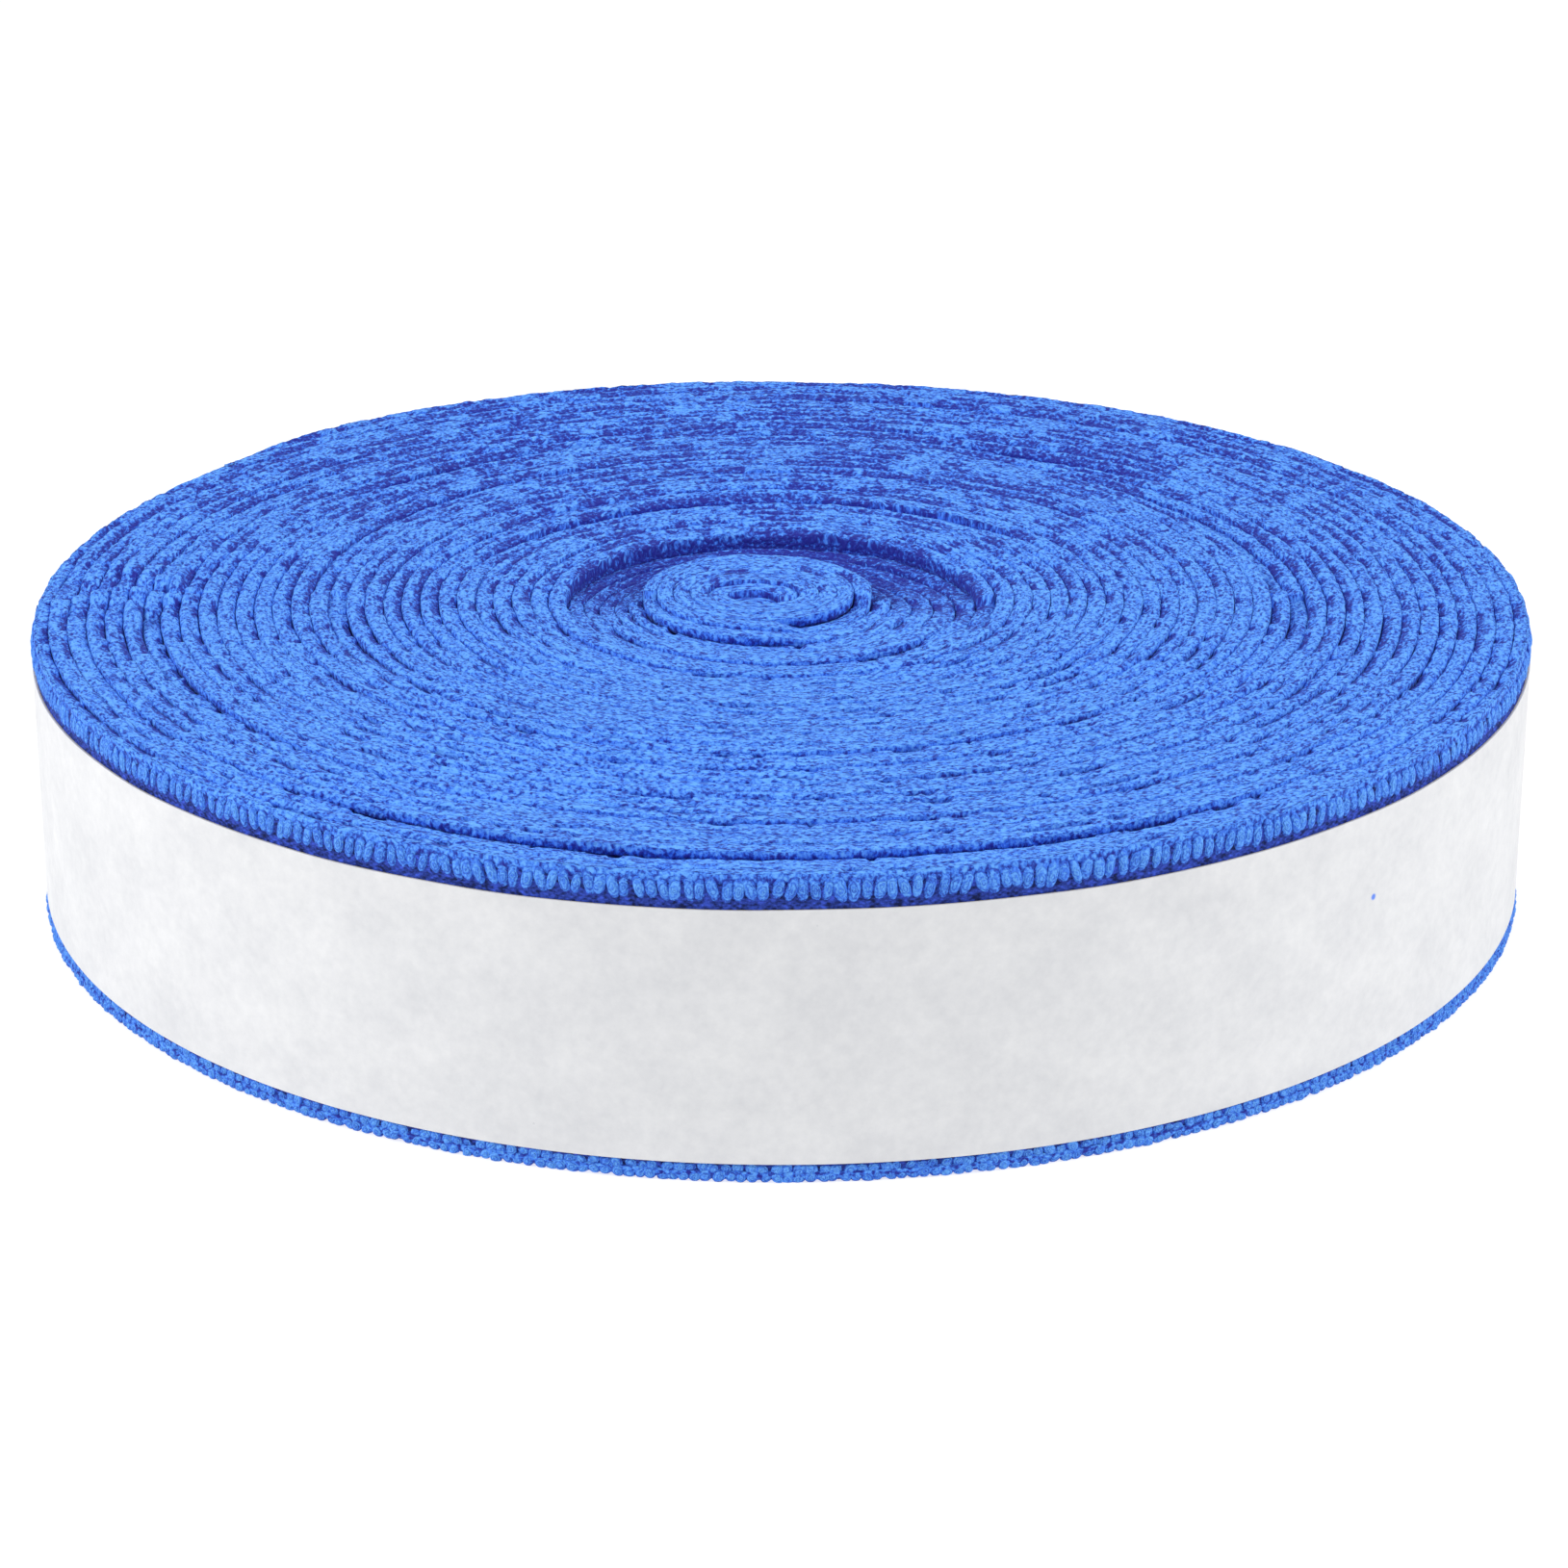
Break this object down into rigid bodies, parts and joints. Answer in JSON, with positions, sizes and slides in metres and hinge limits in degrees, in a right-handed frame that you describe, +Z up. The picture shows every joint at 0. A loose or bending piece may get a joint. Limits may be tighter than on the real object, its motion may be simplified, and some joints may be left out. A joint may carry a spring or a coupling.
{
  "type": "terry grip tape roll",
  "caption": "Flat coreless roll of blue terry grip tape with white release paper outside; the outer end unwinds and its paper peels off the adhesive.",
  "frame": {"origin": "centre of the roll on the surface that it lies on", "axes": "+Z up along the roll's winding axis; +Y towards the free end at the back; +X to the right"},
  "size_m": [0.1564, 0.1574, 0.0308],
  "materials": {
    "terry_pile": "matt looped cotton pile",
    "ground_weave": "matt woven ground",
    "adhesive": "tacky satin",
    "release_paper": "matt, faintly mottled"
  },
  "bodies": {
    "roll": {"roll_pile": "terry_pile", "roll_weave": "ground_weave", "roll_adhesive": "adhesive", "roll_liner": "release_paper"},
    "tail_1": {"tail_pile_1": "terry_pile", "tail_weave_1": "ground_weave", "tail_adhesive_1": "adhesive", "tail_liner_1": "release_paper"},
    "tail_2": {"tail_pile_2": "terry_pile", "tail_weave_2": "ground_weave", "tail_adhesive_2": "adhesive", "tail_liner_2": "release_paper"},
    "tail_3": {"tail_pile_3": "terry_pile", "tail_weave_3": "ground_weave", "tail_adhesive_3": "adhesive", "tail_liner_3": "release_paper"},
    "tail_4": {"tail_pile_4": "terry_pile", "tail_weave_4": "ground_weave", "tail_adhesive_4": "adhesive", "tail_liner_4": "release_paper"},
    "tail_5": {"tail_pile_5": "terry_pile", "tail_weave_5": "ground_weave", "tail_adhesive_5": "adhesive", "tail_liner_5": "release_paper"},
    "tail_6": {"tail_pile_6": "terry_pile", "tail_weave_6": "ground_weave", "tail_adhesive_6": "adhesive", "tail_liner_6": "release_paper"},
    "tail_7": {"tail_pile_7": "terry_pile", "tail_weave_7": "ground_weave", "tail_adhesive_7": "adhesive", "tail_liner_7": "release_paper"},
    "tail_8": {"tail_pile_8": "terry_pile", "tail_weave_8": "ground_weave", "tail_adhesive_8": "adhesive", "tail_liner_8": "release_paper"},
    "peel_1": {"peel_liner_1": "release_paper"},
    "peel_2": {"peel_liner_2": "release_paper"},
    "peel_3": {"peel_liner_3": "release_paper"}
  },
  "joints": [
    {"name": "tail_unwind", "type": "hinge", "parent": "roll", "child": "tail_1", "pos_m": [0.06761, 0.03911, 0.0154], "axis": [0, 0, -1], "range_deg": [0, 13]},
    {"name": "tail_bend_2", "type": "hinge", "parent": "tail_1", "child": "tail_2", "pos_m": [0.05695, 0.05352, 0.0154], "axis": [0, 0, -1], "range_deg": [0, 13]},
    {"name": "tail_bend_3", "type": "hinge", "parent": "tail_2", "child": "tail_3", "pos_m": [0.04332, 0.06516, 0.0154], "axis": [0, 0, -1], "range_deg": [0, 13]},
    {"name": "tail_bend_4", "type": "hinge", "parent": "tail_3", "child": "tail_4", "pos_m": [0.02742, 0.07344, 0.0154], "axis": [0, 0, -1], "range_deg": [0, 13]},
    {"name": "tail_bend_5", "type": "hinge", "parent": "tail_4", "child": "tail_5", "pos_m": [0.01006, 0.07793, 0.0154], "axis": [0, 0, -1], "range_deg": [0, 13]},
    {"name": "tail_bend_6", "type": "hinge", "parent": "tail_5", "child": "tail_6", "pos_m": [-0.00786, 0.0784, 0.0154], "axis": [0, 0, -1], "range_deg": [0, 13]},
    {"name": "tail_bend_7", "type": "hinge", "parent": "tail_6", "child": "tail_7", "pos_m": [-0.02543, 0.07482, 0.0154], "axis": [0, 0, -1], "range_deg": [0, 13]},
    {"name": "tail_bend_8", "type": "hinge", "parent": "tail_7", "child": "tail_8", "pos_m": [-0.04174, 0.06739, 0.0154], "axis": [0, 0, -1], "range_deg": [0, 13]},
    {"name": "liner_peel", "type": "hinge", "parent": "tail_8", "child": "peel_1", "pos_m": [-0.04861, 0.06276, 0.0154], "axis": [0, 0, -1], "range_deg": [0, 45]},
    {"name": "peel_bend_2", "type": "hinge", "parent": "peel_1", "child": "peel_2", "pos_m": [-0.05445, 0.0579, 0.0154], "axis": [0, 0, -1], "range_deg": [0, 45]},
    {"name": "peel_bend_3", "type": "hinge", "parent": "peel_2", "child": "peel_3", "pos_m": [-0.0598, 0.0525, 0.0154], "axis": [0, 0, -1], "range_deg": [0, 45]}
  ],
  "couplings": [
    {"joint": "tail_bend_2", "follows": "tail_unwind", "ratio": 1},
    {"joint": "tail_bend_3", "follows": "tail_unwind", "ratio": 1},
    {"joint": "tail_bend_4", "follows": "tail_unwind", "ratio": 1},
    {"joint": "tail_bend_5", "follows": "tail_unwind", "ratio": 1},
    {"joint": "tail_bend_6", "follows": "tail_unwind", "ratio": 1},
    {"joint": "tail_bend_7", "follows": "tail_unwind", "ratio": 1},
    {"joint": "tail_bend_8", "follows": "tail_unwind", "ratio": 1},
    {"joint": "peel_bend_2", "follows": "liner_peel", "ratio": 1},
    {"joint": "peel_bend_3", "follows": "liner_peel", "ratio": 1}
  ]
}
